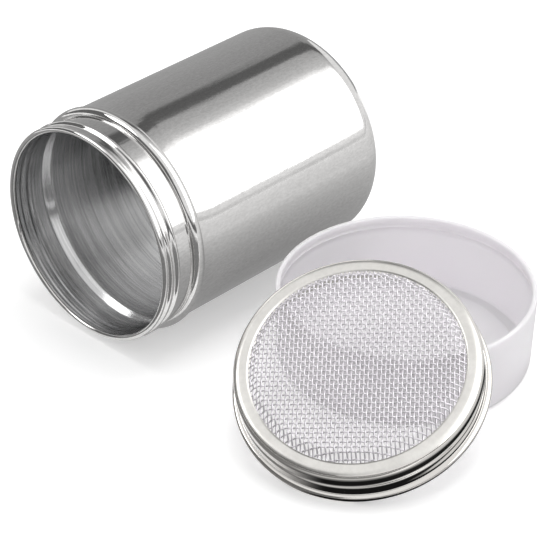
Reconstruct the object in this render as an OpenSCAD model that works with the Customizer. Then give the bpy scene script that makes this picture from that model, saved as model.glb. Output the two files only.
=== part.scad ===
// Spice shaker of three loose pieces, set out as they lie when it is opened for filling:
// a drawn steel can on its side, a screw lid with a pressed wire screen leaning on the
// plastic cap, and the cap open side up. Millimetres, +Z up, the table is z = 0 and the
// origin is the middle of the cap's base. The can's axis runs along +X, mouth towards -X.

/* [Can body] */
// Outside diameter of the can's straight side
body_d = 72; // [60:1:90]
// Length of the can from its rim to its closed end
can_l = 99; // [80:1:130]
// Sheet thickness of the can
can_wall = 0.6; // [0.5:0.1:0.9]
// Outside corner radius at the closed end
end_r = 9.5; // [5:0.5:14]

/* [Can neck] */
// How far the neck steps in from the straight side
neck_step = 1.3; // [1.1:0.1:1.8]
// Length of the neck from the rim to the middle of the shoulder bead
neck_l = 14; // [13:0.5:17]
// Section radius of the curl at the rim
rim_r = 0.95; // [0.8:0.05:1.1]
// Section radius of the shoulder bead
shoulder_r = 2; // [1.6:0.1:2.4]
// How far the shoulder bead stands out of the straight side
shoulder_out = 0.9; // [0.6:0.1:1.2]

/* [Screw thread] */
// Advance of the thread in one turn
thread_pitch = 2.8; // [2.4:0.1:3.2]
// Turns of thread on the can's neck
neck_turns = 2; // [1:0.25:2]
// Turns of thread inside the lid
lid_turns = 1.25; // [1:0.25:1.5]
// How far the neck's thread stands out of the neck
thread_h = 1.15; // [1:0.05:1.3]
// Width of a thread ridge at its foot
thread_w = 1.9; // [1.5:0.1:2.1]
// Distance from the can's rim to the middle of the thread's upper end
thread_start = 2.1; // [1.9:0.1:2.6]
// Where the neck's thread ends at the rim, turned from the top of the lying can
thread_end = 5; // [0:5:355]

/* [Screw lid] */
// Sheet thickness of the lid and of the screen's retaining ring
lid_wall = 0.5; // [0.4:0.05:0.6]
// Height of the lid from its lower bead to its flat top
lid_h = 12.4; // [12:0.1:13.5]
// Section radius of the lid's lower bead
lid_bead_r = 1.1; // [0.9:0.1:1.3]
// Corner radius between the lid's side and its flat top
lid_corner_r = 2.3; // [1.8:0.1:2.6]
// Width of the flat top around the screen
lid_flange_w = 2.6; // [2.2:0.1:3.2]
// Radial room between the lid's threads and the neck's rim and threads
thread_gap = 0.15; // [0.1:0.05:0.3]

/* [Wire screen] */
// Diameter of the screen's wires
wire_d = 0.45; // [0.3:0.05:0.6]
// How far the middle of the screen is pressed up
screen_rise = 3; // [2:0.5:4]
// Width of the slope between the clamped edge and the raised middle
screen_slope_w = 2.6; // [2:0.2:4]
// Side of one opening in the sheet that stands for the woven wires
screen_hole = 3.4; // [2.6:0.1:3.8]
// Width of the bars between those openings
screen_bar = 1.4; // [1:0.1:2.4]
// Direction of the rows of openings, turned about the lid's axis
screen_turn = 22.5; // [0:2.5:90]
// Height of the retaining ring's side
retainer_h = 2.4; // [1.8:0.2:3]
// Play between pieces that are pressed into each other
seat_gap = 0.05; // [0.02:0.01:0.1]

/* [Plastic cap] */
// Height of the cap
cap_h = 25; // [20:1:30]
// Wall thickness of the cap
cap_wall = 1.15; // [1:0.05:1.6]
// Radial room between the lid's bead and the cap's lip
cap_gap = 0.15; // [0.1:0.05:0.4]
// Thickness of the cap's lip
cap_lip_t = 1.6; // [1.4:0.1:2]
// Height of the cap's lip
cap_lip_h = 2.2; // [1.8:0.2:3]
// How much smaller the cap's base is than its mouth, in radius
cap_draft = 0.8; // [0.4:0.1:1.2]
// Outside corner radius at the cap's base
cap_corner_r = 2; // [1.6:0.2:3]
// Diameter of the thicker middle of the cap's floor
cap_pad_d = 69; // [56:1:70]
// How much thicker that middle is
cap_pad_t = 0.4; // [0.2:0.1:0.8]
// Depth of the guide ring below the mouth, inside the cap
guide_depth = 3.9; // [3.6:0.1:5]

/* [How the pieces lie] */
// Angle of the leaning lid above the table
lid_lean = 26; // [24:0.5:28]
// Direction from the lid to the cap, turned from +X
lid_turn = 24; // [8:1:26]
// How far the can's rim lies behind the middle of the cap, along X
can_back = 62; // [50:0.5:64]
// Room between the cap and the can
can_room = 0.5; // [0.4:0.1:4]
// Room between the lid's bead and the cap's lip that carries it
lean_gap = 0.3; // [0.2:0.05:0.5]

/* [Hidden] */
$fn = 96;

steel = [0.74, 0.74, 0.76];
bright_steel = [0.86, 0.85, 0.83];
wire_steel = [0.80, 0.79, 0.82];
milky_plastic = [0.87, 0.86, 0.89];

// Can, measured from its closed end: z = 0 is the base and z = can_l is the rim
body_r = body_d / 2;
neck_r = body_r - neck_step;
neck_in_r = neck_r - can_wall;
rim_mid_r = neck_r + 0.7 - rim_r;
rim_out_r = rim_mid_r + rim_r;
shoulder_mid_r = body_r + shoulder_out - shoulder_r;
shoulder_top_r = shoulder_mid_r + shoulder_r;
shoulder_z = can_l - neck_l;
crest_r = neck_r + thread_h;

// Lid, measured from its lower bead: z = 0 is the open side
lid_minor_r = rim_out_r + thread_gap;
lid_in_r = crest_r + 2 * thread_gap;
lid_out_r = lid_in_r + lid_wall;
lid_bead_mid_r = lid_in_r + lid_bead_r;
lid_bead_out_r = lid_bead_mid_r + lid_bead_r;
lid_flat_r = lid_out_r - lid_corner_r;
lid_open_r = lid_flat_r - lid_flange_w;
lid_hem_r = lid_wall / 2;
flange_z = lid_h - lid_wall;
lid_thread_depth = lid_in_r - lid_minor_r;
lid_thread_z = 3.8;
lid_thread_turn = 200;

// Screen and its retaining ring, in the lid's own measure
screen_t = 2 * wire_d;
screen_edge_r = lid_flat_r - seat_gap;
screen_foot_r = lid_open_r - seat_gap;
screen_top_r = screen_foot_r - screen_slope_w;
screen_low_z = flange_z - screen_t - seat_gap;
retainer_top_z = screen_low_z - seat_gap;
retainer_low_z = retainer_top_z - lid_wall;
corner_mid_z = lid_h - lid_corner_r;
retainer_r = lid_in_r - 0.15;

// Cap, measured from its base
lip_in_r = lid_bead_out_r + cap_gap;
cap_r = lip_in_r + cap_lip_t;
cap_base_r = cap_r - cap_draft;
lip_mid_r = cap_r - cap_lip_t / 2;
lip_mid_z = cap_h - cap_lip_t / 2;

// The can lies on its shoulder bead and on the far end of its straight side
lie_span = can_l - neck_l - end_r;
lie_tilt = asin((shoulder_top_r - body_r) / lie_span);
can_side = cap_r + can_room + body_r;

// The lid stands on its bead, which also lies across the cap's lip at two points
lean_lift = (lid_bead_r + cap_lip_t / 2 + lean_gap) / cos(lid_lean);
lean_rise = (lip_mid_z + lean_lift - lid_bead_r) / sin(lid_lean) - lid_bead_mid_r;
lean_half = sqrt(pow(lid_bead_mid_r, 2) - pow(lean_rise, 2));
lean_reach = lean_rise * cos(lid_lean) + sqrt(pow(lip_mid_r, 2) - pow(lean_half, 2));
lean_z = lid_bead_r + lid_bead_mid_r * sin(lid_lean);

// A ridge along a helix. Its section runs from foot_r to top_r and is w wide at the foot.
// The ridge sinks back to its foot over the first and last part of its length.
ridge_steps = 48;
ridge_run = 0.12;
function fade(t, turns) = min(1, min(t, turns - t) / ridge_run);
function ridge_at(a, z, foot_r, top_r, w, k) =
    let (r = foot_r + (top_r - foot_r) * k, c = cos(a), s = sin(a))
    [
        [foot_r * c, foot_r * s, z - w / 2],
        [(foot_r + (r - foot_r) * 0.75) * c, (foot_r + (r - foot_r) * 0.75) * s, z - w * 0.28],
        [r * c, r * s, z - w * 0.1],
        [r * c, r * s, z + w * 0.1],
        [(foot_r + (r - foot_r) * 0.75) * c, (foot_r + (r - foot_r) * 0.75) * s, z + w * 0.28],
        [foot_r * c, foot_r * s, z + w / 2]
    ];

module thread_ridge(turns, z0, foot_r, top_r, w) {
    n = round(turns * ridge_steps);
    sides = 6;
    inward = top_r < foot_r;
    points = [
        for (i = [0 : n])
            let (t = turns * i / n, k = 0.12 + 0.88 * fade(t, turns))
            each ridge_at(t * 360, z0 + t * thread_pitch, foot_r, top_r, w, k)
    ];
    skin = [
        for (i = [0 : n - 1])
            for (j = [0 : sides - 1])
                let (a = i * sides + j, b = i * sides + (j + 1) % sides)
                inward ? [a, a + sides, b + sides, b] : [a, b, b + sides, a + sides]
    ];
    first = [for (j = [0 : sides - 1]) inward ? j : sides - 1 - j];
    last = [for (j = [0 : sides - 1]) n * sides + (inward ? sides - 1 - j : j)];
    polyhedron(points, concat(skin, [first], [last]), convexity = 8);
}

// Place a piece drawn upright with its mouth up so that it lies as the can lies
module lay_can() {
    translate([neck_l - can_back, can_side, shoulder_top_r])
        rotate([0, lie_tilt - 90, 0])
            translate([0, 0, -shoulder_z])
                children();
}

// Place a piece drawn in the lid's measure so that it leans on the cap
module lean_lid() {
    rotate([0, 0, lid_turn])
        translate([-lean_reach, 0, lean_z])
            rotate([0, -lid_lean, 0])
                translate([0, 0, -lid_bead_r])
                    children();
}

// Outline of the can's outside or, set in by the sheet's thickness, of its inside
module can_outline(inset) {
    r = body_r - inset;
    corner = end_r - inset;
    translate([0, inset])
        square([r - corner, can_l]);
    translate([0, inset + corner])
        square([r, shoulder_z - inset - corner]);
    translate([r - corner, inset + corner])
        circle(corner);
}

module can_section() {
    difference() {
        union() {
            intersection() {
                can_outline(0);
                square([body_r, shoulder_z]);
            }
            translate([0, shoulder_z - 0.01])
                square([neck_r, neck_l - rim_r]);
            translate([shoulder_mid_r, shoulder_z])
                circle(shoulder_r);
        }
        intersection() {
            can_outline(can_wall);
            square([body_r, shoulder_z]);
        }
        translate([0, shoulder_z - 0.01])
            square([neck_in_r, neck_l + 1]);
        translate([shoulder_mid_r, shoulder_z])
            circle(shoulder_r - can_wall);
    }
    translate([rim_mid_r, can_l - rim_r])
        circle(rim_r);
}

module neck_thread(foot_r, top_r, w) {
    translate([0, 0, can_l - thread_start - neck_turns * thread_pitch])
        rotate([0, 0, thread_end - neck_turns * 360])
            thread_ridge(neck_turns, 0, foot_r, top_r, w);
}

module can_body() {
    color(steel)
        lay_can() {
            difference() {
                union() {
                    rotate_extrude()
                        can_section();
                    neck_thread(neck_r - 0.3, crest_r, thread_w);
                }
                neck_thread(neck_in_r - 0.3, crest_r - can_wall, thread_w * 0.55);
            }
        }
}

module lid_section() {
    difference() {
        union() {
            translate([0, lid_bead_r])
                square([lid_out_r, corner_mid_z - lid_bead_r]);
            translate([0, corner_mid_z - 0.01])
                square([lid_flat_r, lid_corner_r + 0.01]);
            translate([lid_flat_r, corner_mid_z])
                circle(lid_corner_r);
        }
        translate([0, -1])
            square([lid_in_r, corner_mid_z + 1]);
        translate([0, corner_mid_z - 0.01])
            square([lid_flat_r, lid_corner_r - lid_wall + 0.01]);
        translate([lid_flat_r, corner_mid_z])
            circle(lid_corner_r - lid_wall);
        square([lid_open_r + lid_hem_r, lid_h + 1]);
    }
    translate([lid_bead_mid_r, lid_bead_r])
        circle(lid_bead_r);
    translate([lid_open_r + lid_hem_r, lid_h - lid_hem_r])
        circle(lid_hem_r);
}

module lid_thread(foot_r, top_r, w) {
    rotate([0, 0, lid_thread_turn])
        thread_ridge(lid_turns, lid_thread_z, foot_r, top_r, w);
}

module lid_ring() {
    color(bright_steel)
        lean_lid() {
            difference() {
                union() {
                    rotate_extrude()
                        lid_section();
                    lid_thread(lid_in_r + 0.25, lid_minor_r, thread_w * 1.1);
                }
                lid_thread(lid_out_r + 0.3, lid_minor_r + lid_wall, thread_w * 0.8);
            }
        }
}

// Square openings in rows, as many as lie whole inside the screen's raised middle
module screen_openings() {
    pitch = screen_hole + screen_bar;
    reach = screen_top_r - screen_bar / 2;
    rows = ceil(reach / pitch);
    rotate([0, 0, screen_turn])
        for (i = [-rows : rows - 1], j = [-rows : rows - 1]) {
            x = (i + 0.5) * pitch;
            y = (j + 0.5) * pitch;
            if (norm([abs(x) + screen_hole / 2, abs(y) + screen_hole / 2]) < reach)
                translate([x - screen_hole / 2, y - screen_hole / 2])
                    square(screen_hole);
        }
}

module mesh_screen() {
    color(wire_steel)
        lean_lid()
            difference() {
                rotate_extrude()
                    polygon([
                        [0, screen_low_z + screen_rise],
                        [screen_top_r, screen_low_z + screen_rise],
                        [screen_foot_r, screen_low_z],
                        [screen_edge_r, screen_low_z],
                        [screen_edge_r, screen_low_z + screen_t],
                        [screen_foot_r, screen_low_z + screen_t],
                        [screen_top_r, screen_low_z + screen_rise + screen_t],
                        [0, screen_low_z + screen_rise + screen_t]
                    ]);
                translate([0, 0, screen_low_z])
                    linear_extrude(screen_rise + 2 * screen_t)
                        screen_openings();
            }
}

module screen_retainer() {
    color(steel)
        lean_lid()
            rotate_extrude() {
                translate([lid_open_r, retainer_low_z])
                    square([retainer_r - lid_wall - lid_open_r + 0.05, lid_wall]);
                translate([retainer_r - lid_wall, retainer_top_z - retainer_h])
                    square([lid_wall, retainer_h - 0.3]);
            }
}

module cap_section() {
    wall_h = cap_h - cap_lip_h;
    difference() {
        union() {
            polygon([
                [0, 0],
                [cap_base_r - cap_corner_r, 0],
                [cap_base_r - cap_corner_r, cap_corner_r],
                [cap_base_r, cap_corner_r],
                [cap_r, wall_h],
                [cap_r, lip_mid_z],
                [0, lip_mid_z]
            ]);
            translate([cap_base_r - cap_corner_r, cap_corner_r])
                circle(cap_corner_r);
        }
        polygon([
            [0, cap_wall + cap_pad_t],
            [cap_pad_d / 2, cap_wall + cap_pad_t],
            [cap_pad_d / 2, cap_wall],
            [cap_base_r - cap_corner_r, cap_wall],
            [cap_base_r - cap_corner_r, cap_corner_r],
            [cap_base_r - cap_wall, cap_corner_r],
            [cap_r - cap_wall, wall_h],
            [lip_in_r, wall_h],
            [lip_in_r, cap_h],
            [0, cap_h]
        ]);
        translate([cap_base_r - cap_corner_r, cap_corner_r])
            circle(cap_corner_r - cap_wall);
    }
    translate([lip_mid_r, lip_mid_z])
        circle(cap_lip_t / 2);
    translate([cap_r - cap_wall, cap_h - guide_depth])
        circle(0.3);
}

module dust_cap() {
    color(milky_plastic)
        rotate_extrude()
            cap_section();
}

can_body();
lid_ring();
mesh_screen();
screen_retainer();
dust_cap();
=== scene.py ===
# Spice shaker in pieces: a drawn steel can, a screw lid with a wire screen, a milky cap
import math

import bmesh
import bpy
from mathutils import Matrix, Vector


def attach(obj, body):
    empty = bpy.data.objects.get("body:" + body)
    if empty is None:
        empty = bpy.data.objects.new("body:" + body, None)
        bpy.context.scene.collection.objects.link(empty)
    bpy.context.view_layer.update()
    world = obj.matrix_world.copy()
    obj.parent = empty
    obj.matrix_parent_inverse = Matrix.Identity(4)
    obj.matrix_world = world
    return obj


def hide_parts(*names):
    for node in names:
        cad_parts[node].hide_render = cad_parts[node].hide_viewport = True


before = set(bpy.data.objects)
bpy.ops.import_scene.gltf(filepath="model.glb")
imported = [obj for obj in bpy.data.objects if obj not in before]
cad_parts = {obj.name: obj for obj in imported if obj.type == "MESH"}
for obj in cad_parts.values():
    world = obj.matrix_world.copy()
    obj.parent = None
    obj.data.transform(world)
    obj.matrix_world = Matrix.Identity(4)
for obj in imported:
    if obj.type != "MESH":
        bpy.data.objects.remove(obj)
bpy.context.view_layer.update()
mm = 0.001


def hexColor(code):
    # sRGB hex to the linear colour that the shaders want
    parts = [int(code[i:i + 2], 16) / 255 for i in (0, 2, 4)]
    return [c / 12.92 if c <= 0.04045 else ((c + 0.055) / 1.055) ** 2.4 for c in parts] + [1.0]


def addNode(tree, kind, inputs=None, **settings):
    node = tree.nodes.new(kind)
    for name, value in settings.items():
        setattr(node, name, value)
    for key, value in (inputs or {}).items():
        if isinstance(value, bpy.types.NodeSocket):
            tree.links.new(value, node.inputs[key])
        else:
            node.inputs[key].default_value = value
    return node


def newMaterial(name):
    material = bpy.data.materials.new(name)
    material.use_nodes = True
    material.node_tree.nodes.clear()
    return material, material.node_tree


def penTo(bm, vert, r, z, cuts=0):
    # straight stroke of a profile in the XZ plane, in millimetres
    start = vert.co.copy()
    for i in range(1, cuts + 2):
        vert = bmesh.ops.extrude_vert_indiv(bm, verts=[vert])["verts"][0]
        vert.co = start.lerp(Vector((r, 0, z)), i / (cuts + 1))
    return vert


def penAround(bm, vert, r, z, degrees, steps):
    # arc stroke about a centre, counter-clockwise when positive
    new = bmesh.ops.spin(bm, geom=[vert], cent=(r, 0, z), axis=(0, 1, 0), dvec=(0, 0, 0),
                         angle=-math.radians(degrees), steps=steps, use_merge=False)
    return [g for g in new["geom_last"] if isinstance(g, bmesh.types.BMVert)][0]


def softenCorners(bm, spots, offset, segments=3):
    # round the sharp corners of a profile before it is spun
    near = [v for v in bm.verts if len(v.link_edges) == 2
            and any((v.co - Vector((r, 0, z))).length < 0.01 for r, z in spots)]
    bmesh.ops.bevel(bm, geom=near, affect="VERTICES", offset=offset, segments=segments,
                    profile=0.5, material=-1)


def spinProfile(bm, steps):
    bmesh.ops.spin(bm, geom=bm.verts[:] + bm.edges[:], cent=(0, 0, 0), axis=(0, 0, 1),
                   dvec=(0, 0, 0), angle=math.radians(360), steps=steps, use_merge=True)
    bmesh.ops.remove_doubles(bm, verts=bm.verts[:], dist=0.002)      # closes the seam and the poles
    bmesh.ops.recalc_face_normals(bm, faces=bm.faces[:])


def ridgeHeight(x, y, z, thread):
    # how far a pressed thread pushes the sheet out at this point
    turn = (math.degrees(math.atan2(y, x)) - thread["firstAngle"]) / 360 % 1
    best = 0.0
    while turn <= thread["turns"]:
        away = abs(z - thread["firstZ"] - turn * thread["pitch"]) / thread["halfWidth"]
        if away < 1:
            fade = min(1, turn / thread["fade"], (thread["turns"] - turn) / thread["fade"])
            fade = fade * fade * (3 - 2 * fade)
            best = max(best, fade * (0.5 + 0.5 * math.cos(math.pi * away)) ** thread["sharp"])
        turn += 1
    return best * thread["height"]


def pressThread(bm, thread, lowZ, highZ, lowR, highR):
    slack = 0.1                              # takes in both faces of the sheet
    for v in bm.verts:
        r = math.hypot(v.co.x, v.co.y)
        if lowZ < v.co.z < highZ and lowR - slack < r < highR + slack:
            push = ridgeHeight(v.co.x, v.co.y, v.co.z, thread)
            if r < thread["middleR"]:        # the hidden side of the sheet follows more softly
                push *= thread["softer"]
            v.co.x *= (r + push) / r
            v.co.y *= (r + push) / r


def finishPiece(bm, name, place, body, nodes, materials):
    # millimetres to metres, into place, smooth, riding on its body
    bmesh.ops.transform(bm, matrix=Matrix.Scale(mm, 4) @ place, verts=bm.verts[:])
    mesh = bpy.data.meshes.new(name)
    for face in bm.faces:
        face.smooth = True
    bm.to_mesh(mesh)
    bm.free()
    for material in materials:
        mesh.materials.append(material)
    piece = bpy.data.objects.new(name, mesh)
    bpy.context.scene.collection.objects.link(piece)
    piece.visible_glossy = body == "can"     # the can mirrors the plain room, not the pieces beside it
    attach(piece, body)
    if nodes:
        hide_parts(*nodes)
    print(name, "made:", len(mesh.polygons), "faces")


# every piece is drawn upright about Z in millimetres, and then laid where it belongs
can = {
    "steps": 256, "bodyR": 36.0, "length": 99.0, "wall": 0.6, "boreR": 34.7, "endR": 9.5,
    "neckR": 34.7, "neckCuts": 46, "rimMidR": 34.45, "rimR": 0.95,
    "beadMidR": 34.9, "beadR": 2.0, "beadWall": 0.48, "beadZ": 85.0,
    "grooveLean": 35.0,                      # the groove behind the bead runs out into the bore
    "soft": 0.25, "threadRoom": 0.3, "curlRoom": 0.02,
    "floorBelow": 20.0, "facingIn": 0.3, "rimBright": 0.6,           # where each finish ends
    "thread": {"firstAngle": 5.0, "firstZ": 91.3, "turns": 2.0, "pitch": 2.8, "height": 0.95,
               "halfWidth": 1.15, "fade": 0.3, "sharp": 0.9, "middleR": 34.4, "softer": 0.2},
}


def makeCan(p, place, materials):
    bm = bmesh.new()
    inR, neckIn = p["boreR"], p["neckR"] - p["wall"]
    beadIn, rimZ = p["beadR"] - p["beadWall"], p["length"] - p["rimR"]
    lean = math.radians(p["grooveLean"])
    slopeR, slopeZ = p["beadMidR"] + beadIn * math.cos(lean), p["beadZ"] - beadIn * math.sin(lean)
    boreZ = slopeZ - (slopeR - inR) / math.tan(lean)
    cornerR = p["bodyR"] - p["endR"]

    def height(r, radius):                   # how far up a bead's circle meets a wall
        return math.sqrt(radius ** 2 - (r - p["beadMidR"]) ** 2)

    def angle(r, radius):                    # and at which angle
        return math.degrees(math.acos((r - p["beadMidR"]) / radius))

    outLow, outTop = height(p["bodyR"], p["beadR"]), height(p["neckR"], p["beadR"])
    inTop = height(neckIn, beadIn)
    curl = math.degrees(math.acos((p["neckR"] - p["rimMidR"]) / p["rimR"]))
    curlZ = rimZ - p["rimR"] * math.sin(math.radians(curl))
    curlIn = math.degrees(math.acos((p["rimMidR"] - neckIn) / p["rimR"]))
    v = bm.verts.new((0, 0, 0))
    v = penTo(bm, v, cornerR, 0, cuts=6)
    v = penAround(bm, v, cornerR, p["endR"], 90, steps=14)
    v = penTo(bm, v, p["bodyR"], p["beadZ"] - outLow, cuts=10)
    v = penAround(bm, v, p["beadMidR"], p["beadZ"],
                  angle(p["bodyR"], p["beadR"]) + angle(p["neckR"], p["beadR"]), steps=16)
    v = penTo(bm, v, p["neckR"], curlZ, cuts=p["neckCuts"])
    v = penAround(bm, v, p["rimMidR"], rimZ, curl + 180 + curlIn, steps=20)
    v = penTo(bm, v, neckIn, p["beadZ"] + inTop, cuts=p["neckCuts"])
    v = penAround(bm, v, p["beadMidR"], p["beadZ"], -p["grooveLean"] - angle(neckIn, beadIn), steps=14)
    v = penTo(bm, v, inR, boreZ, cuts=2)
    v = penTo(bm, v, inR, p["endR"], cuts=10)
    v = penAround(bm, v, cornerR, p["endR"], -90, steps=14)
    penTo(bm, v, 0, p["endR"] - inR + cornerR, cuts=6)
    softenCorners(bm, [(p["bodyR"], p["beadZ"] - outLow), (p["neckR"], p["beadZ"] + outTop),
                       (neckIn, p["beadZ"] + inTop), (inR, boreZ)], p["soft"])
    spinProfile(bm, p["steps"])
    pressThread(bm, p["thread"], p["beadZ"] + inTop + p["threadRoom"], curlZ - p["curlRoom"],
                neckIn, p["neckR"])
    for face in bm.faces:                    # outside 0, bore 1, inside of the base 2
        c = face.calc_center_median()
        outwards = face.normal.x * c.x + face.normal.y * c.y
        if face.normal.z > 0.5 and c.z < p["floorBelow"]:
            face.material_index = 2
        elif outwards < -p["facingIn"] * math.hypot(c.x, c.y) and c.z < rimZ - p["rimBright"]:
            face.material_index = 1
    finishPiece(bm, "drawnCan", place, "can", ["can_body"], materials)


lid = {
    "steps": 256, "wall": 0.5, "height": 12.4, "inR": 36.15, "outCuts": 38, "inCuts": 42,
    "cornerR": 2.3, "flatR": 34.35, "openR": 31.75, "beadR": 1.1, "beadMidR": 37.25,
    "hemR": 0.3, "hemRise": 0.02, "hemLap": 0.1, "hemTurn": 172.0,
    "satinFrom": 0.8,                        # up the corner, where the bright side turns satin
    "threadLow": 2.2,
    "thread": {"firstAngle": 200.0, "firstZ": 3.8, "turns": 1.25, "pitch": 2.8, "height": -0.6,
               "halfWidth": 1.1, "fade": 0.14, "sharp": 0.8, "middleR": 0, "softer": 1},
}


def makeLid(p, place, materials):
    bm = bmesh.new()
    outR = p["inR"] + p["wall"]
    cornerZ, hemTop = p["height"] - p["cornerR"], p["height"] + p["hemRise"]
    meet = math.degrees(math.acos((outR - p["beadMidR"]) / p["beadR"]))
    hemMid = p["openR"] + p["hemR"]
    v = first = bm.verts.new((hemMid, 0, hemTop))
    v = penTo(bm, v, p["flatR"], p["height"], cuts=3)
    v = penAround(bm, v, p["flatR"], cornerZ, -90, steps=10)
    v = penTo(bm, v, outR, p["beadR"] * (1 + math.sin(math.radians(meet))), cuts=p["outCuts"])
    v = penAround(bm, v, p["beadMidR"], p["beadR"], -meet - 180, steps=22)
    v = penTo(bm, v, p["inR"], cornerZ, cuts=p["inCuts"])
    v = penAround(bm, v, p["flatR"], cornerZ, 90, steps=8)
    v = penTo(bm, v, hemMid, hemTop - 2 * p["hemR"] + p["hemLap"], cuts=3)
    v = penAround(bm, v, hemMid, hemTop - p["hemR"], -p["hemTurn"], steps=10)
    bmesh.ops.contextual_create(bm, geom=[v, first])
    spinProfile(bm, p["steps"])
    pressThread(bm, p["thread"], p["threadLow"], cornerZ, p["inR"], outR)
    for face in bm.faces:                    # the top is satin 0, the side is bright 1
        if face.calc_center_median().z < cornerZ + p["cornerR"] * p["satinFrom"]:
            face.material_index = 1
    finishPiece(bm, "screwLid", place, "lid", ["lid_ring"], materials)


ring = {
    "steps": 256, "low": 10.4, "openR": 31.75, "outR": 36.0, "wall": 0.5, "side": 2.4,
    "chamfer": 0.3, "soft": 0.12,
}


def makeRing(p, place, materials):
    bm = bmesh.new()
    top, sideIn = p["low"] + p["wall"], p["outR"] - p["wall"]
    v = first = bm.verts.new((p["openR"], 0, p["low"]))
    v = penTo(bm, v, sideIn, p["low"], cuts=2)
    v = penTo(bm, v, sideIn, top - p["side"], cuts=2)
    v = penTo(bm, v, p["outR"], top - p["side"])
    v = penTo(bm, v, p["outR"], top - p["chamfer"], cuts=2)
    v = penTo(bm, v, sideIn, top)
    v = penTo(bm, v, p["openR"], top, cuts=2)
    bmesh.ops.contextual_create(bm, geom=[v, first])
    softenCorners(bm, [(p["openR"], p["low"]), (sideIn, p["low"]), (sideIn, top - p["side"]),
                       (p["outR"], top - p["side"]), (p["outR"], top - p["chamfer"]), (sideIn, top),
                       (p["openR"], top)], p["soft"], segments=2)
    spinProfile(bm, p["steps"])
    finishPiece(bm, "screenRing", place, "lid", ["screen_retainer"], materials)


# the real cloth is finer and would not show, so its wires are drawn thicker and further apart
screen = {
    "warp": {"wireR": 0.29, "pitch": 1.24}, "weft": {"wireR": 0.24, "pitch": 1.54},
    "edgeR": 34.2, "footR": 31.7, "topR": 29.1, "lowZ": 11.4, "rise": 3.0,
    "straightShare": 0.55, "roundShare": 0.45,       # of the pressed slope
    "shortest": 3.0, "sides": 6, "pointsPerCrossing": 4, "turn": -75.5,
}


def screenHeight(r, p):
    slope = min(1, max(0, (p["footR"] - r) / (p["footR"] - p["topR"])))
    return p["lowZ"] + p["rise"] * (
        slope * p["straightShare"] + p["roundShare"] * slope * slope * (3 - 2 * slope))


def makeWires(name, p, own, other, alongX, place, nodes, materials):
    # a family of parallel wires, each waving over and under the other family
    bm = bmesh.new()
    sway = (own["wireR"] + other["wireR"]) / 2
    wireCount = int(p["edgeR"] / own["pitch"])
    for i in range(-wireCount, wireCount + 1):
        offset = i * own["pitch"]
        half = math.sqrt(max(0, p["edgeR"] ** 2 - offset ** 2))
        if half < p["shortest"]:
            continue
        count = int(2 * half / other["pitch"] * p["pointsPerCrossing"])
        grid = bmesh.ops.create_grid(bm, x_segments=count, y_segments=p["sides"], size=0.5)["verts"]
        for v in grid:                       # roll the flat strip into a wire
            s = v.co.x * 2 * half
            a = (v.co.y + 0.5) * 2 * math.pi
            phase = math.pi * (s / other["pitch"] + i + int(alongX))
            tilt = math.atan(-sway * math.pi / other["pitch"] * math.sin(phase))
            z = screenHeight(math.hypot(s, offset), p) + sway * math.cos(phase)
            s -= math.sin(tilt) * math.cos(a) * own["wireR"]
            z += math.cos(tilt) * math.cos(a) * own["wireR"]
            side = offset + math.sin(a) * own["wireR"]
            v.co = (s, side, z) if alongX else (side, s, z)
        bmesh.ops.remove_doubles(bm, verts=grid, dist=0.01)
    bmesh.ops.holes_fill(bm, edges=[e for e in bm.edges if e.is_boundary], sides=p["sides"])
    bmesh.ops.recalc_face_normals(bm, faces=bm.faces[:])
    turned = place @ Matrix.Rotation(math.radians(p["turn"]), 4, "Z")
    finishPiece(bm, name, turned, "lid", nodes, materials)


cap = {
    "steps": 256, "height": 25.0, "r": 40.1, "baseR": 39.3, "cornerR": 2.0, "wall": 1.15,
    "lipIn": 38.5, "lipT": 1.6, "lipH": 2.2, "guideDepth": 3.9, "guideR": 0.3,
    "padR": 34.5, "padT": 0.4, "padDraft": 0.3, "soft": 0.14,
}


def makeCap(p, place, materials):
    bm = bmesh.new()
    floorR, inR = p["baseR"] - p["cornerR"], p["r"] - p["wall"]
    lipZ, stepZ = p["height"] - p["lipT"] / 2, p["height"] - p["lipH"]
    guideZ = p["height"] - p["guideDepth"]
    padTopR, padTopZ = p["padR"] - p["padDraft"], p["wall"] + p["padT"]
    v = bm.verts.new((0, 0, 0))
    v = penTo(bm, v, floorR, 0, cuts=8)
    v = penAround(bm, v, floorR, p["cornerR"], 90, steps=8)
    v = penTo(bm, v, p["r"], stepZ, cuts=8)
    v = penTo(bm, v, p["r"], lipZ, cuts=1)
    v = penAround(bm, v, p["r"] - p["lipT"] / 2, lipZ, 180, steps=10)
    v = penTo(bm, v, p["lipIn"], stepZ, cuts=1)
    v = penTo(bm, v, inR, stepZ)
    v = penTo(bm, v, inR, guideZ + p["guideR"])
    v = penAround(bm, v, inR, guideZ, 180, steps=6)
    v = penTo(bm, v, p["baseR"] - p["wall"], p["cornerR"], cuts=8)
    v = penAround(bm, v, floorR, p["cornerR"], -90, steps=6)
    v = penTo(bm, v, p["padR"], p["wall"], cuts=1)
    v = penTo(bm, v, padTopR, padTopZ)
    penTo(bm, v, 0, padTopZ, cuts=8)
    softenCorners(bm, [(p["lipIn"], stepZ), (inR, stepZ), (p["padR"], p["wall"]),
                       (padTopR, padTopZ)], p["soft"], segments=2)
    spinProfile(bm, p["steps"])
    finishPiece(bm, "milkyCap", place, "cap", ["dust_cap"], materials)


# how the pieces lie, as in the CAD
lay = {
    "canBack": 62.0,                         # the can's rim behind the middle of the cap
    "canRoom": 0.5,                          # between the cap and the can's straight side
    "lidLean": 26.0, "lidTurn": 24.0,
    "leanRoom": 0.3,                         # between the lid's bead and the cap's lip
}


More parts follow.
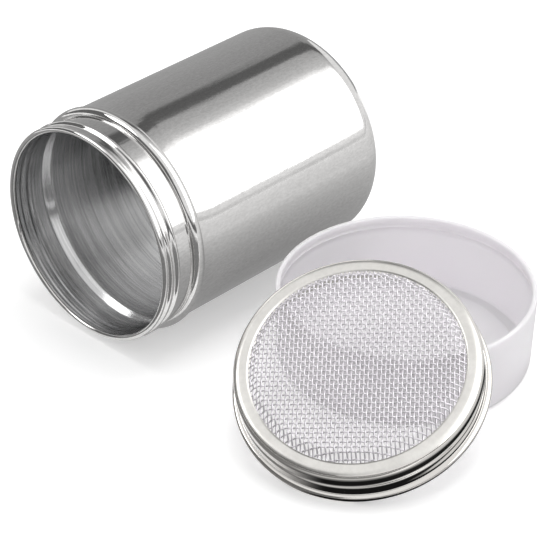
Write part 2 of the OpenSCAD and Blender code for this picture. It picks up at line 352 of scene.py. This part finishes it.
def placeCan():
    # the can lies on its shoulder bead and on the far end of its straight side
    beadTop = can["beadMidR"] + can["beadR"]
    tilt = math.asin((beadTop - can["bodyR"]) / (can["beadZ"] - can["endR"]))
    beadX = can["length"] - can["beadZ"] - lay["canBack"]
    side = cap["r"] + lay["canRoom"] + can["bodyR"]
    return (Matrix.Translation((beadX, side, beadTop)) @ Matrix.Rotation(tilt - math.pi / 2, 4, "Y")
            @ Matrix.Translation((0, 0, -can["beadZ"])))


def placeLid():
    # the lid stands on its bead, which also crosses the cap's lip at two points
    lean, bead, beadMid = math.radians(lay["lidLean"]), lid["beadR"], lid["beadMidR"]
    lipR, lipZ = cap["r"] - cap["lipT"] / 2, cap["height"] - cap["lipT"] / 2
    lift = (bead + cap["lipT"] / 2 + lay["leanRoom"]) / math.cos(lean)
    rise = (lipZ + lift - bead) / math.sin(lean) - beadMid
    half = math.sqrt(beadMid ** 2 - rise ** 2)
    reach = rise * math.cos(lean) + math.sqrt(lipR ** 2 - half ** 2)
    return (Matrix.Rotation(math.radians(lay["lidTurn"]), 4, "Z")
            @ Matrix.Translation((-reach, 0, bead + beadMid * math.sin(lean)))
            @ Matrix.Rotation(-lean, 4, "Y") @ Matrix.Translation((0, 0, -bead)))


steelRelief = {"waveDepth": 0.0004, "grainDepth": 0.00003, "lineDepth": 0.00004}     # metres


def makeDrawnSteel(place, look):
    # 304 stainless sheet, deep-drawn and finished with fine belts: it mirrors the room in long soft
    # bands, broken by hair lines and by a slight waviness that the drawing leaves
    material, tree = newMaterial(look["name"])
    coords = addNode(tree, "ShaderNodeTexCoord")
    back = (Matrix.Scale(mm, 4) @ place @ Matrix.Scale(1 / mm, 4)).inverted()
    own = addNode(tree, "ShaderNodeMapping", {       # the piece's own axis becomes Z
        "Vector": coords.outputs["Object"], "Location": back.to_translation(),
        "Rotation": back.to_euler("XYZ")}, vector_type="POINT").outputs["Vector"]
    fine = addNode(tree, "ShaderNodeMapping", {"Vector": own, "Scale": look["hairPerMetre"]})
    wide = addNode(tree, "ShaderNodeMapping", {"Vector": own, "Scale": look["bandPerMetre"]})
    hair = addNode(tree, "ShaderNodeTexNoise", {
        "Vector": fine.outputs["Vector"], "Scale": 1.0, "Detail": 4.0, "Roughness": 0.65})
    bands = addNode(tree, "ShaderNodeTexNoise", {
        "Vector": wide.outputs["Vector"], "Scale": 1.0, "Detail": 3.0})
    waves = addNode(tree, "ShaderNodeTexNoise", {
        "Vector": own, "Scale": look["wavesPerMetre"], "Detail": 2.0})
    grain = addNode(tree, "ShaderNodeTexNoise", {
        "Vector": own, "Scale": look["grainPerMetre"], "Detail": 2.0})
    rough = addNode(tree, "ShaderNodeMapRange", {
        "Value": bands.outputs["Fac"], "From Min": 0.3, "From Max": 0.7,
        "To Min": look["roughLow"], "To Max": look["roughHigh"]})
    both = addNode(tree, "ShaderNodeMath", {
        0: bands.outputs["Fac"], 1: look["bandShare"], 2: hair.outputs["Fac"]}, operation="MULTIPLY_ADD")
    middle, spread = 0.5 + 0.5 * look["bandShare"], 0.2 + 0.1 * look["bandShare"]
    half = addNode(tree, "ShaderNodeMapRange", {
        "Value": both.outputs["Value"], "From Min": middle - spread, "From Max": middle + spread})
    tint = addNode(tree, "ShaderNodeMix", {  # sockets 6 and 7 are the two colours, output 2 the mix
        0: half.outputs["Result"], 6: hexColor(look["dark"]), 7: hexColor(look["light"])}, data_type="RGBA")
    wavy = addNode(tree, "ShaderNodeBump", {
        "Height": waves.outputs["Fac"], "Strength": look["waveStrength"],
        "Distance": steelRelief["waveDepth"]})
    peel = addNode(tree, "ShaderNodeBump", {
        "Height": grain.outputs["Fac"], "Strength": look["grainStrength"],
        "Distance": steelRelief["grainDepth"], "Normal": wavy.outputs["Normal"]})
    lines = addNode(tree, "ShaderNodeBump", {
        "Height": both.outputs["Value"], "Strength": look["lineStrength"],
        "Distance": steelRelief["lineDepth"], "Normal": peel.outputs["Normal"]})
    shader = addNode(tree, "ShaderNodeBsdfPrincipled", {
        "Base Color": tint.outputs[2], "Metallic": 1.0, "Roughness": rough.outputs["Result"],
        "Normal": lines.outputs["Normal"]})
    if look.get("brushed"):                  # lines run round the axis, so highlights stretch along it
        start, axis = place.to_translation() * mm, place.to_3x3() @ Vector((0, 0, 1))
        reach = addNode(tree, "ShaderNodeMapping", {"Vector": coords.outputs["Object"], "Location": -start})
        around = addNode(tree, "ShaderNodeVectorMath", {0: reach.outputs["Vector"], 1: axis},
                         operation="CROSS_PRODUCT")
        tree.links.new(around.outputs["Vector"], shader.inputs["Tangent"])
        shader.inputs["Anisotropic"].default_value = look["brushed"]
        shader.inputs["Anisotropic Rotation"].default_value = 0.25
    addNode(tree, "ShaderNodeOutputMaterial", {"Surface": shader.outputs["BSDF"]})
    return material


def makeWire(look):
    # drawn stainless wire: its die lines are too fine to see and leave it satin, with a little grime
    material, tree = newMaterial(look["name"])
    coords = addNode(tree, "ShaderNodeTexCoord")
    patches = addNode(tree, "ShaderNodeTexNoise", {
        "Vector": coords.outputs["Object"], "Scale": look["patchesPerMetre"], "Detail": 3.0})
    grain = addNode(tree, "ShaderNodeTexNoise", {
        "Vector": coords.outputs["Object"], "Scale": look["grainPerMetre"], "Detail": 2.0})
    tint = addNode(tree, "ShaderNodeMix", {
        0: patches.outputs["Fac"], 6: hexColor(look["dark"]), 7: hexColor(look["light"])}, data_type="RGBA")
    rough = addNode(tree, "ShaderNodeMapRange", {
        "Value": grain.outputs["Fac"], "To Min": look["roughLow"], "To Max": look["roughHigh"]})
    shader = addNode(tree, "ShaderNodeBsdfPrincipled", {
        "Base Color": tint.outputs[2], "Metallic": 1.0, "Roughness": rough.outputs["Result"]})
    addNode(tree, "ShaderNodeOutputMaterial", {"Surface": shader.outputs["BSDF"]})
    return material


def makeMilkyPlastic(look):
    # natural polypropylene, injection moulded: milky, waxy, lets light soak through its thin wall
    material, tree = newMaterial(look["name"])
    coords = addNode(tree, "ShaderNodeTexCoord")
    cloud = addNode(tree, "ShaderNodeTexNoise", {
        "Vector": coords.outputs["Object"], "Scale": look["cloudsPerMetre"], "Detail": 2.0})
    skin = addNode(tree, "ShaderNodeTexNoise", {
        "Vector": coords.outputs["Object"], "Scale": look["skinPerMetre"], "Detail": 2.0})
    tint = addNode(tree, "ShaderNodeMix", {
        0: cloud.outputs["Fac"], 6: hexColor(look["dark"]), 7: hexColor(look["light"])}, data_type="RGBA")
    rough = addNode(tree, "ShaderNodeMapRange", {
        "Value": cloud.outputs["Fac"], "To Min": look["roughLow"], "To Max": look["roughHigh"]})
    fine = addNode(tree, "ShaderNodeBump", {
        "Height": skin.outputs["Fac"], "Strength": look["skinStrength"], "Distance": look["skinDepth"]})
    shader = addNode(tree, "ShaderNodeBsdfPrincipled", {
        "Base Color": tint.outputs[2], "Roughness": rough.outputs["Result"], "IOR": look["ior"],
        "Normal": fine.outputs["Normal"], "Subsurface Weight": look["scatter"],
        "Subsurface Radius": look["scatterTint"], "Subsurface Scale": look["scatterReach"],
        "Transmission Weight": look["clear"]})
    addNode(tree, "ShaderNodeOutputMaterial", {"Surface": shader.outputs["BSDF"]})
    return material


canPlace, lidPlace, capPlace = placeCan(), placeLid(), Matrix.Identity(4)
# hair and band scales are (across, across, along the piece's axis); belt lines are about 0.05 mm
# apart and would not show, so they are drawn at 0.6 to 1.4 mm
canOutside = makeDrawnSteel(canPlace, {
    "name": "stainless steel, drawn and polished", "dark": "cecdcc", "light": "e2e1e0",
    "hairPerMetre": (1500, 1500, 700), "bandPerMetre": (260, 260, 18), "bandShare": 0.3, "wavesPerMetre": 45,
    "grainPerMetre": 1400, "waveStrength": 0.13, "grainStrength": 0.2, "lineStrength": 0.06,
    "roughLow": 0.06, "roughHigh": 0.11})
canInside = makeDrawnSteel(canPlace, {
    "name": "stainless steel, drawn and brushed inside", "dark": "b6b6b7", "light": "f4f4f4",
    "hairPerMetre": (12, 12, 1500), "bandPerMetre": (90, 90, 500), "bandShare": 0.3, "wavesPerMetre": 60,
    "grainPerMetre": 1400, "waveStrength": 0.05, "grainStrength": 0.05, "lineStrength": 0.6,
    "roughLow": 0.20, "roughHigh": 0.26, "brushed": 0.9})
canFloor = makeDrawnSteel(canPlace, {
    "name": "stainless steel, drawn and left matt", "dark": "d0d0d0", "light": "f2f2f2",
    "hairPerMetre": (300, 300, 300), "bandPerMetre": (60, 60, 60), "bandShare": 1.0, "wavesPerMetre": 60,
    "grainPerMetre": 1400, "waveStrength": 0.05, "grainStrength": 0.3, "lineStrength": 0.3,
    "roughLow": 0.5, "roughHigh": 0.65})
lidSatin = makeDrawnSteel(lidPlace, {
    "name": "stainless steel, pressed and satin finished", "dark": "d4d2ce", "light": "e2e0dc",
    "hairPerMetre": (700, 700, 700), "bandPerMetre": (90, 90, 90), "bandShare": 1.0, "wavesPerMetre": 80,
    "grainPerMetre": 1800, "waveStrength": 0.05, "grainStrength": 0.3, "lineStrength": 0.15,
    "roughLow": 0.30, "roughHigh": 0.40})
lidBright = makeDrawnSteel(lidPlace, {
    "name": "stainless steel, pressed and bright", "dark": "d3d0cc", "light": "e6e3df",
    "hairPerMetre": (14, 14, 1800), "bandPerMetre": (12, 12, 300), "bandShare": 0.6, "wavesPerMetre": 60,
    "grainPerMetre": 1400, "waveStrength": 0.05, "grainStrength": 0.1, "lineStrength": 0.12,
    "roughLow": 0.08, "roughHigh": 0.14})
screenWire = makeWire({
    "name": "stainless steel wire, drawn bright", "dark": "d5d1d6", "light": "e8e5e9",
    "patchesPerMetre": 60.0, "grainPerMetre": 1800.0, "roughLow": 0.45, "roughHigh": 0.58})
milkyPlastic = makeMilkyPlastic({
    "name": "polypropylene, moulded milky", "dark": "efeaf0", "light": "f8f4f9", "ior": 1.49,
    "cloudsPerMetre": 22.0, "skinPerMetre": 900.0, "skinStrength": 0.08, "skinDepth": 0.0001,
    "roughLow": 0.28, "roughHigh": 0.38, "scatter": 0.9, "scatterTint": (1.0, 0.95, 1.0),
    "scatterReach": 0.004, "clear": 0.08})
print("materials made")

makeCan(can, canPlace, [canOutside, canInside, canFloor])
makeLid(lid, lidPlace, [lidSatin, lidBright])
makeRing(ring, lidPlace, [lidBright])
makeWires("screenWarp", screen, own=screen["warp"], other=screen["weft"], alongX=False,
          place=lidPlace, nodes=["mesh_screen"], materials=[screenWire])
makeWires("screenWeft", screen, own=screen["weft"], other=screen["warp"], alongX=True,
          place=lidPlace, nodes=[], materials=[screenWire])
makeCap(cap, capPlace, [milkyPlastic])


# the stage is in metres; lift is the board's own glow, fill the room's soft light, and 1 is white
stage = {"floorWhite": "f4f4f4", "floorSize": 6.0, "lift": 0.30, "fill": 0.75}


def seenDirectly(tree):
    # 1 for rays from the camera and for those that mirrors and glass send on, 0 for soft light
    path = addNode(tree, "ShaderNodeLightPath")
    seen = addNode(tree, "ShaderNodeMath", {
        0: path.outputs["Is Camera Ray"], 1: path.outputs["Is Glossy Ray"]}, operation="MAXIMUM")
    return addNode(tree, "ShaderNodeMath", {
        0: seen.outputs[0], 1: path.outputs["Is Transmission Ray"]}, operation="MAXIMUM").outputs[0]


def finishStage(bm, name, material):
    mesh = bpy.data.meshes.new(name)
    bm.to_mesh(mesh)
    bm.free()
    mesh.materials.append(material)
    thing = bpy.data.objects.new(name, mesh)
    bpy.context.scene.collection.objects.link(thing)
    return thing


def makeFloor(p):
    # white board; the camera and the mirrors see it a little lifted, so that it reads as paper white
    material, tree = newMaterial("matt white studio board")
    paint = addNode(tree, "ShaderNodeBsdfDiffuse", {"Color": hexColor(p["floorWhite"])})
    lift = addNode(tree, "ShaderNodeEmission", {"Color": (1, 1, 1, 1), "Strength": p["lift"]})
    both = addNode(tree, "ShaderNodeAddShader", {0: paint.outputs[0], 1: lift.outputs[0]})
    mix = addNode(tree, "ShaderNodeMixShader", {
        0: seenDirectly(tree), 1: paint.outputs[0], 2: both.outputs[0]})
    addNode(tree, "ShaderNodeOutputMaterial", {"Surface": mix.outputs[0]})
    bm = bmesh.new()
    bmesh.ops.create_grid(bm, x_segments=1, y_segments=1, size=p["floorSize"] / 2)
    finishStage(bm, "studioFloor", material)


def makeWorld(p):
    world = bpy.data.worlds.new("plainRoom")
    bpy.context.scene.world = world
    world.use_nodes = True
    tree = world.node_tree
    tree.nodes.clear()
    fill = addNode(tree, "ShaderNodeBackground", {"Color": (1, 1, 1, 1), "Strength": p["fill"]})
    white = addNode(tree, "ShaderNodeBackground", {"Color": (1, 1, 1, 1), "Strength": 1.0})
    mix = addNode(tree, "ShaderNodeMixShader", {
        0: seenDirectly(tree), 1: fill.outputs[0], 2: white.outputs[0]})
    addNode(tree, "ShaderNodeOutputWorld", {"Surface": mix.outputs[0]})


def aim(thing, place, target, along=(1, 0, 0)):
    # look at the target with the picture's or panel's width along a given direction
    towards = (Vector(place) - Vector(target)).normalized()
    side = (Vector(along) - towards * towards.dot(Vector(along))).normalized()
    thing.location = place
    thing.rotation_euler = Matrix((side, towards.cross(side), towards)).transposed().to_euler()


def addSoftbox(name, place, target, width, height, radiance, diffuse=True, mirrored=True):
    light = bpy.data.lights.new(name, "AREA")
    light.shape, light.size, light.size_y = "RECTANGLE", width, height
    light.energy = math.pi * width * height * radiance
    box = bpy.data.objects.new(name, light)
    bpy.context.scene.collection.objects.link(box)
    aim(box, place, target)
    box.visible_camera, box.visible_diffuse, box.visible_glossy = False, diffuse, mirrored


def cardMaterial(name, stops, measure, centre, reach, seenWithin=None, fade=None, ragged=None):
    # grey studio card in bands, each stop a share of the reach, a grey and how solid the card is
    material, tree = newMaterial(name)
    coords = addNode(tree, "ShaderNodeTexCoord")
    own = addNode(tree, "ShaderNodeMapping", {
        "Vector": coords.outputs["Object"], "Location": [-c for c in centre]})
    parts = addNode(tree, "ShaderNodeSeparateXYZ", {0: own.outputs[0]})
    if measure == "turn":                    # angle about X, up from the front horizon, in degrees
        front = addNode(tree, "ShaderNodeMath", {0: parts.outputs["Y"], 1: -1.0}, operation="MULTIPLY")
        turn = addNode(tree, "ShaderNodeMath", {
            0: parts.outputs["Z"], 1: front.outputs[0]}, operation="ARCTAN2")
        value = addNode(tree, "ShaderNodeMapRange", {
            "Value": turn.outputs[0], "From Min": math.radians(reach[0]),
            "From Max": math.radians(reach[1])}).outputs["Result"]
    elif measure == "height":
        value = addNode(tree, "ShaderNodeMath", {
            0: parts.outputs["Z"], 1: 1 / reach}, operation="MULTIPLY").outputs[0]
    else:                                    # metres from the centre
        far = addNode(tree, "ShaderNodeVectorMath", {0: own.outputs[0]}, operation="LENGTH")
        value = addNode(tree, "ShaderNodeMath", {
            0: far.outputs["Value"], 1: 1 / reach}, operation="MULTIPLY").outputs[0]
    if ragged:                               # torn edges between the bands instead of straight ones
        torn = addNode(tree, "ShaderNodeTexNoise", {
            "Vector": coords.outputs["Object"], "Scale": 16.0, "Detail": 5.0, "Roughness": 0.7})
        value = addNode(tree, "ShaderNodeMath", {
            0: torn.outputs["Fac"], 1: ragged, 2: value}, operation="MULTIPLY_ADD").outputs[0]
    ramp = addNode(tree, "ShaderNodeValToRGB", {"Fac": value})
    shades = ramp.color_ramp.elements
    shades.remove(shades[-1])
    for i, (position, shade, solid) in enumerate(stops):
        element = shades[0] if i == 0 else shades.new(position)
        element.position = position
        element.color = (shade, shade, shade, solid)
    solid = ramp.outputs["Alpha"]
    if seenWithin:                           # metres; only what stands close by mirrors this card
        path = addNode(tree, "ShaderNodeLightPath")
        near = addNode(tree, "ShaderNodeMath", {
            0: path.outputs["Ray Length"], 1: seenWithin}, operation="LESS_THAN")
        solid = addNode(tree, "ShaderNodeMath", {
            0: solid, 1: near.outputs[0]}, operation="MULTIPLY").outputs[0]
    if fade:                                 # fades in between two places along Y
        place = addNode(tree, "ShaderNodeSeparateXYZ", {0: coords.outputs["Object"]})
        soft = addNode(tree, "ShaderNodeMapRange", {
            "Value": place.outputs["Y"], "From Min": fade[0], "From Max": fade[1]},
            interpolation_type="SMOOTHSTEP")
        solid = addNode(tree, "ShaderNodeMath", {
            0: solid, 1: soft.outputs["Result"]}, operation="MULTIPLY").outputs[0]
    glow = addNode(tree, "ShaderNodeEmission", {"Color": ramp.outputs["Color"], "Strength": 1.0})
    clear = addNode(tree, "ShaderNodeBsdfTransparent")
    mix = addNode(tree, "ShaderNodeMixShader", {0: solid, 1: clear.outputs[0], 2: glow.outputs[0]})
    addNode(tree, "ShaderNodeOutputMaterial", {"Surface": mix.outputs[0]})
    return material


def addCard(name, bm, look):
    # only polished metal sees a card
    card = finishStage(bm, name, cardMaterial(**look))
    card.visible_camera = card.visible_diffuse = card.visible_shadow = card.visible_transmission = False


def addPaintedBoreGlow(name, p):
    # a glowing disc across the can's bore, near its closed end, that only mirrors see: painted light and
    # shade, which the bore mirrors as dark, grey and bright bands
    bm = bmesh.new()
    bmesh.ops.create_circle(bm, cap_ends=True, radius=p["radius"], segments=p["sides"])
    inCan = Matrix.Scale(mm, 4) @ canPlace @ Matrix.Translation((0, 0, p["z"]))
    bmesh.ops.transform(bm, matrix=inCan, verts=bm.verts[:])
    addCard(name, bm, p["look"])


def addFloorCard(name, p):
    bm = bmesh.new()
    (lowX, lowY), (highX, highY) = p["low"], p["high"]
    bmesh.ops.create_grid(bm, x_segments=1, y_segments=1, size=0.5)
    bmesh.ops.scale(bm, vec=(highX - lowX, highY - lowY, 1), verts=bm.verts[:])
    bmesh.ops.translate(bm, vec=((lowX + highX) / 2, (lowY + highY) / 2, p["lift"]), verts=bm.verts[:])
    addCard(name, bm, p["look"])


def addArchCard(name, p):
    # part of a tube about the can's axis
    bm = bmesh.new()
    y, z = canAxis
    low, high = math.radians(p["lowTurn"]), math.radians(p["highTurn"])
    start = bm.verts.new((p["lowX"], y - p["radius"] * math.cos(low), z + p["radius"] * math.sin(low)))
    end = bmesh.ops.extrude_vert_indiv(bm, verts=[start])["verts"][0]
    end.co.x = p["highX"]
    bmesh.ops.spin(bm, geom=bm.verts[:] + bm.edges[:], cent=(0, y, z), axis=(-1, 0, 0),
                   dvec=(0, 0, 0), angle=high - low, steps=24, use_merge=False)
    addCard(name, bm, p["look"])


def addWallCard(name, p):
    # upright wall about the Z axis
    bm = bmesh.new()
    low, high = math.radians(p["lowTurn"]), math.radians(p["highTurn"])
    start = bm.verts.new((p["radius"] * math.cos(low), p["radius"] * math.sin(low), 0))
    end = bmesh.ops.extrude_vert_indiv(bm, verts=[start])["verts"][0]
    end.co.z = p["height"]
    bmesh.ops.spin(bm, geom=bm.verts[:] + bm.edges[:], cent=(0, 0, 0), axis=(0, 0, 1),
                   dvec=(0, 0, 0), angle=high - low, steps=24, use_merge=False)
    addCard(name, bm, p["look"])


canAxis = ((cap["r"] + lay["canRoom"] + can["bodyR"]) * mm, (can["beadMidR"] + can["beadR"]) * mm)
softboxes = {                                # radiance is the white that a mirror shows
    "keyInMetal": {"place": (0.585, -0.465, 0.60), "target": (0.585, *canAxis), "width": 1.3,
                   "height": 1.25, "radiance": 1.45, "diffuse": False},
    "keySoftbox": {"place": (0.585, -0.465, 0.60), "target": (0.585, *canAxis), "width": 1.3,
                   "height": 1.25, "radiance": 0.93, "mirrored": False},
    "mouthSoftbox": {"place": (-0.32, 0.33, 0.38), "target": (-0.07, *canAxis), "width": 0.24,
                     "height": 0.24, "radiance": 3.5, "diffuse": False},
    "topFill": {"place": (0.1, 0.0, 0.9), "target": (0.0, 0.0, 0.0), "width": 0.6,
                "height": 0.6, "radiance": 2.9, "mirrored": False},
}
# painted light and shade: this disc inside the can glows in bands by angle about the can's axis, and the
# bore mirrors them
paintedBoreGlow = {"radius": 34.6, "z": 13.0, "sides": 64, "look": {        # millimetres in the can
    "name": "glowing disc, painted light and shade for the bore", "measure": "turn", "centre": (0, *canAxis), "reach": (-60, 140),
    "stops": [(0.0, 0.0, 1), (0.25, 0.0, 1), (0.35, 0.66, 1), (0.50, 0.78, 1), (0.70, 0.62, 1),
              (0.77, 0.28, 1), (0.82, 1.0, 1), (0.92, 1.0, 1)]}}
backArch = {"lowX": 0.15, "highX": 1.5, "radius": 0.9, "lowTurn": 74, "highTurn": 179, "look": {
    "name": "grey card, dark across its top", "measure": "turn", "centre": (0, *canAxis),
    "reach": (10, 190), "ragged": 0.11,
    "stops": [(0.411, 1.0, 0), (0.444, 0.9, 0.7), (0.478, 0.75, 1), (0.528, 0.58, 1), (0.590, 0.48, 1),
              (0.610, 0.15, 1), (0.680, 0.12, 1), (0.706, 0.33, 1), (0.744, 0.36, 1), (0.833, 0.38, 1),
              (0.989, 0.42, 1)]}}
floorCards = {
    "backCard": {"low": (-0.2, 0.13), "high": (1.5, 1.0), "lift": 0.0004, "look": {
        "name": "grey card", "measure": "far", "centre": (0, 0, 0), "reach": 2.0,
        "stops": [(0.0, 0.40, 1), (1.0, 0.40, 1)]}},
    # painted shade: the can mirrors this card in place of the floor, darkest right by the can and lighter
    # far out
    "frontShadeCard": {"low": (-0.06, -0.9), "high": (1.1, 0.076), "lift": 0.0004, "look": {
        "name": "grey card of painted shade by the can, lighter far out", "measure": "far", "centre": (0, 0.076, 0), "reach": 0.9,
        "stops": [(0.04, 0.33, 1), (0.09, 0.52, 1), (0.18, 0.80, 1), (0.45, 0.92, 1), (0.95, 0.95, 1),
                  (1.0, 0.95, 0)]}},
    # painted shade: mirrors see this card in place of the floor before the mouth, darkest next to the mouth
    # and lighter further out
    "mouthShadeCard": {"low": (-0.5, -0.35), "high": (-0.076, 0.16), "lift": 0.0004, "look": {
        "name": "grey card of painted shade before the mouth", "measure": "far", "centre": (-0.076, 0.05, 0), "reach": 0.4,
        "stops": [(0.0, 0.22, 1), (0.5, 0.30, 1), (1.0, 0.5, 0)]}},
    # painted shade: a black ring on the floor about the lid, mirrored only by surfaces within 5 cm, darkens
    # the lid's side near the floor
    "lidShadeCard": {"low": (-0.11, -0.10), "high": (0.08, -0.010), "lift": 0.0006, "look": {
        "name": "black card of painted shade about the lid, fading outwards", "measure": "far", "centre": (-0.030, -0.012, 0),
        "reach": 0.1, "seenWithin": 0.05, "fade": (-0.010, -0.032),
        "stops": [(0.35, 0.02, 0), (0.38, 0.01, 1), (0.485, 0.01, 1), (0.51, 0.14, 1), (0.55, 0.28, 1),
                  (0.61, 0.75, 1), (0.75, 0.8, 0)]}},
}
wallCards = {
    "sideWall": {"radius": 1.0, "height": 0.2, "lowTurn": 100, "highTurn": 280, "look": {
        "name": "dark card, soft along its top", "measure": "height", "centre": (0, 0, 0), "reach": 0.2,
        "stops": [(0.0, 0.16, 1), (0.6, 0.16, 1), (1.0, 0.3, 0)]}},
    "tallWall": {"radius": 1.02, "height": 1.1, "lowTurn": 100, "highTurn": 200, "look": {
        "name": "tall dark card, soft along its top", "measure": "height", "centre": (0, 0, 0),
        "reach": 1.1, "stops": [(0.0, 0.16, 1), (0.7, 0.16, 1), (1.0, 0.4, 0)]}},
    "backWall": {"radius": 0.955, "height": 0.075, "lowTurn": 20, "highTurn": 100, "look": {
        "name": "grey card, low", "measure": "height", "centre": (0, 0, 0), "reach": 0.075,
        "stops": [(0.0, 0.40, 1), (1.0, 0.40, 1)]}},
    "horizonWall": {"radius": 1.2, "height": 0.07, "lowTurn": 280, "highTurn": 345, "look": {
        "name": "grey card, low", "measure": "height", "centre": (0, 0, 0), "reach": 0.07,
        "stops": [(0.0, 0.75, 1), (0.9, 0.75, 1), (1.0, 0.9, 0)]}},
}

makeFloor(stage)
makeWorld(stage)
for name, p in softboxes.items():
    addSoftbox(name, **p)
addPaintedBoreGlow("paintedBoreGlow", paintedBoreGlow)
addArchCard("backArch", backArch)
for name, p in floorCards.items():
    addFloorCard(name, p)
for name, p in wallCards.items():
    addWallCard(name, p)

view = {
    "target": (0.0040, 0.0617, 0.0), "azimuth": -46.0, "elevation": 33.5, "distance": 0.785,
    "lens": 160.0, "sensor": 36.0, "clip": (0.05, 20.0),
}
camera = bpy.data.objects.new("camera", bpy.data.cameras.new("camera"))
bpy.context.scene.collection.objects.link(camera)
turn, rise = math.radians(view["azimuth"]), math.radians(view["elevation"])
back = Vector((math.sin(turn) * math.cos(rise), -math.cos(turn) * math.cos(rise), math.sin(rise)))
aim(camera, Vector(view["target"]) + back * view["distance"], view["target"],
    along=(math.cos(turn), math.sin(turn), 0))
camera.data.sensor_width = view["sensor"]
camera.data.lens = view["lens"]
camera.data.clip_start, camera.data.clip_end = view["clip"]
bpy.context.scene.camera = camera
bpy.context.scene.view_settings.view_transform = "Standard"
print("stage, light and camera made")
